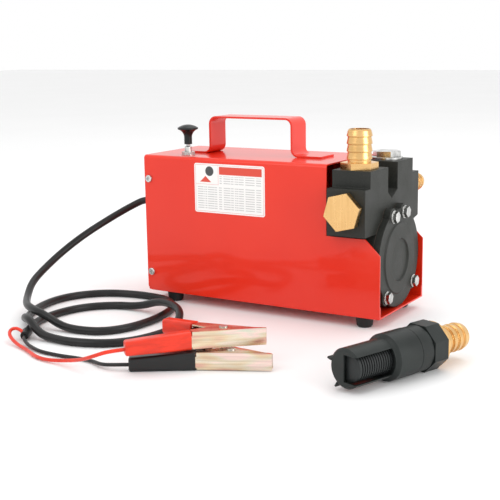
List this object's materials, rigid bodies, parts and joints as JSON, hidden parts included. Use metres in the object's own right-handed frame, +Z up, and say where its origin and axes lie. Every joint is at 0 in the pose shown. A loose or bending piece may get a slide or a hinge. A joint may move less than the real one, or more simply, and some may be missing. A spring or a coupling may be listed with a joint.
{
  "type": "fluid transfer pump",
  "caption": "Boxed electric rotary vane pump with a carry handle, barbed hose tails, a cable with two battery clamps, and a loose suction strainer with a check valve.",
  "frame": {"origin": "on the floor under the middle of the cabinet", "axes": "+X along the cabinet towards the pump head, +Y towards the back, where the outlet is, +Z up"},
  "size_m": [0.4871, 0.4126, 0.2015],
  "materials": {
    "red_enamel": "gloss enamel on folded sheet steel",
    "black_casting": "black satin paint over a fine cast grain, machined flats showing through",
    "zinc_steel": "bright zinc plate",
    "brass": "turned brass with fine tool lines",
    "black_rubber": "matte moulded rubber",
    "laminated_steel": "stacked steel laminations",
    "spring_steel": "drawn spring wire",
    "cable_jacket": "satin rubber jacket",
    "carbon": "pressed carbon",
    "black_plastic": "satin moulded plastic",
    "copper": "turned copper bars",
    "gasket_paper": "pressed fibre paper",
    "ground_steel": "ground steel",
    "white_label": "printed film with a plain layout of bars and no lettering",
    "black_motor_paint": "semi-gloss black paint",
    "ferrite": "sintered ferrite",
    "yellow_zinc": "yellow chromated zinc with pink and green tints",
    "black_pvc": "glossy dipped sleeve",
    "red_pvc": "glossy dipped sleeve",
    "black_wire": "smooth wire insulation",
    "red_wire": "smooth wire insulation",
    "green_black_plastic": "satin moulded plastic, a dark green black"
  },
  "bodies": {
    "cabinet": {"base_tray": "red_enamel", "bypass_plug": "brass", "bypass_spring": "spring_steel", "bypass_washer": "zinc_steel", "cabinet_cover": "red_enamel", "cable_breakout": "cable_jacket", "cable_gland": "black_rubber", "carbon_brushes": "carbon", "carry_handle": "red_enamel", "clamp_rivets": "zinc_steel", "clamp_springs": "spring_steel", "cover_bolts": "zinc_steel", "cover_gasket": "gasket_paper", "cover_screws": "zinc_steel", "foot_screws": "zinc_steel", "info_label": "white_label", "inlet_tail": "brass", "motor_bolts": "zinc_steel", "motor_can": "black_motor_paint", "motor_end_bell": "black_motor_paint", "motor_magnets": "ferrite", "motor_saddle": "black_rubber", "negative_jaw": "yellow_zinc", "negative_sleeve": "black_pvc", "negative_wire": "black_wire", "outlet_tail": "brass", "positive_jaw": "yellow_zinc", "positive_sleeve": "red_pvc", "positive_wire": "red_wire", "power_cable": "cable_jacket", "priming_plug": "zinc_steel", "priming_washer": "zinc_steel", "pull_switch": "zinc_steel", "pump_body": "black_casting", "pump_cover": "black_casting", "rubber_feet": "black_rubber", "saddle_bolts": "zinc_steel", "shaft_bearings": "ground_steel", "shaft_seal": "black_rubber", "switch_nut": "zinc_steel"},
    "switch_pull": {"switch_plunger": "ground_steel", "pull_knob": "black_plastic"},
    "positive_clamp_lever": {"positive_lever": "yellow_zinc", "positive_lever_sleeve": "red_pvc"},
    "negative_clamp_lever": {"negative_lever": "yellow_zinc", "negative_lever_sleeve": "black_pvc"},
    "rotor_shaft": {"drive_shaft": "ground_steel", "armature": "laminated_steel", "commutator": "copper", "pump_rotor": "ground_steel", "pump_vanes": "carbon"},
    "bypass_valve": {"bypass_poppet": "brass"},
    "strainer": {"strainer_cage": "green_black_plastic", "strainer_screen": "black_plastic", "strainer_body": "green_black_plastic", "strainer_nut": "green_black_plastic", "strainer_tail": "brass", "check_spring": "spring_steel"},
    "check_valve": {"check_poppet": "black_plastic"}
  },
  "joints": [
    {"name": "switch_pull_slide", "type": "slide", "parent": "cabinet", "child": "switch_pull", "axis": [0, 0, 1], "range_m": [0, 0.0065]},
    {"name": "positive_clamp_pivot", "type": "hinge", "parent": "cabinet", "child": "positive_clamp_lever", "pos_m": [0.061, -0.2125, 0.026], "axis": [0, 0, 1], "range_deg": [0, 28], "stiffness_Nm_per_rad": 0.6, "springref_deg": -14.32},
    {"name": "negative_clamp_pivot", "type": "hinge", "parent": "cabinet", "child": "negative_clamp_lever", "pos_m": [0.073, -0.2195, 0.0085], "axis": [0, 0, 1], "range_deg": [0, 28], "stiffness_Nm_per_rad": 0.6, "springref_deg": -14.32},
    {"name": "shaft_spin", "type": "hinge", "parent": "cabinet", "child": "rotor_shaft", "pos_m": [0, 0, 0.063], "axis": [1, 0, 0], "continuous": true},
    {"name": "bypass_lift", "type": "slide", "parent": "cabinet", "child": "bypass_valve", "axis": [0, -1, 0], "range_m": [0, 0.005], "stiffness_N_per_m": 900, "springref_m": -0.01, "deforming": ["bypass_spring"]},
    {"name": "strainer_lift", "type": "slide", "parent": "cabinet", "child": "strainer", "axis": [0, 0, 1], "range_m": [0, 0.05]},
    {"name": "check_lift", "type": "slide", "parent": "strainer", "child": "check_valve", "axis": [0.3289, 0.9444, 0], "range_m": [0, 0.004], "stiffness_N_per_m": 60, "springref_m": -0.006, "deforming": ["check_spring"]}
  ]
}
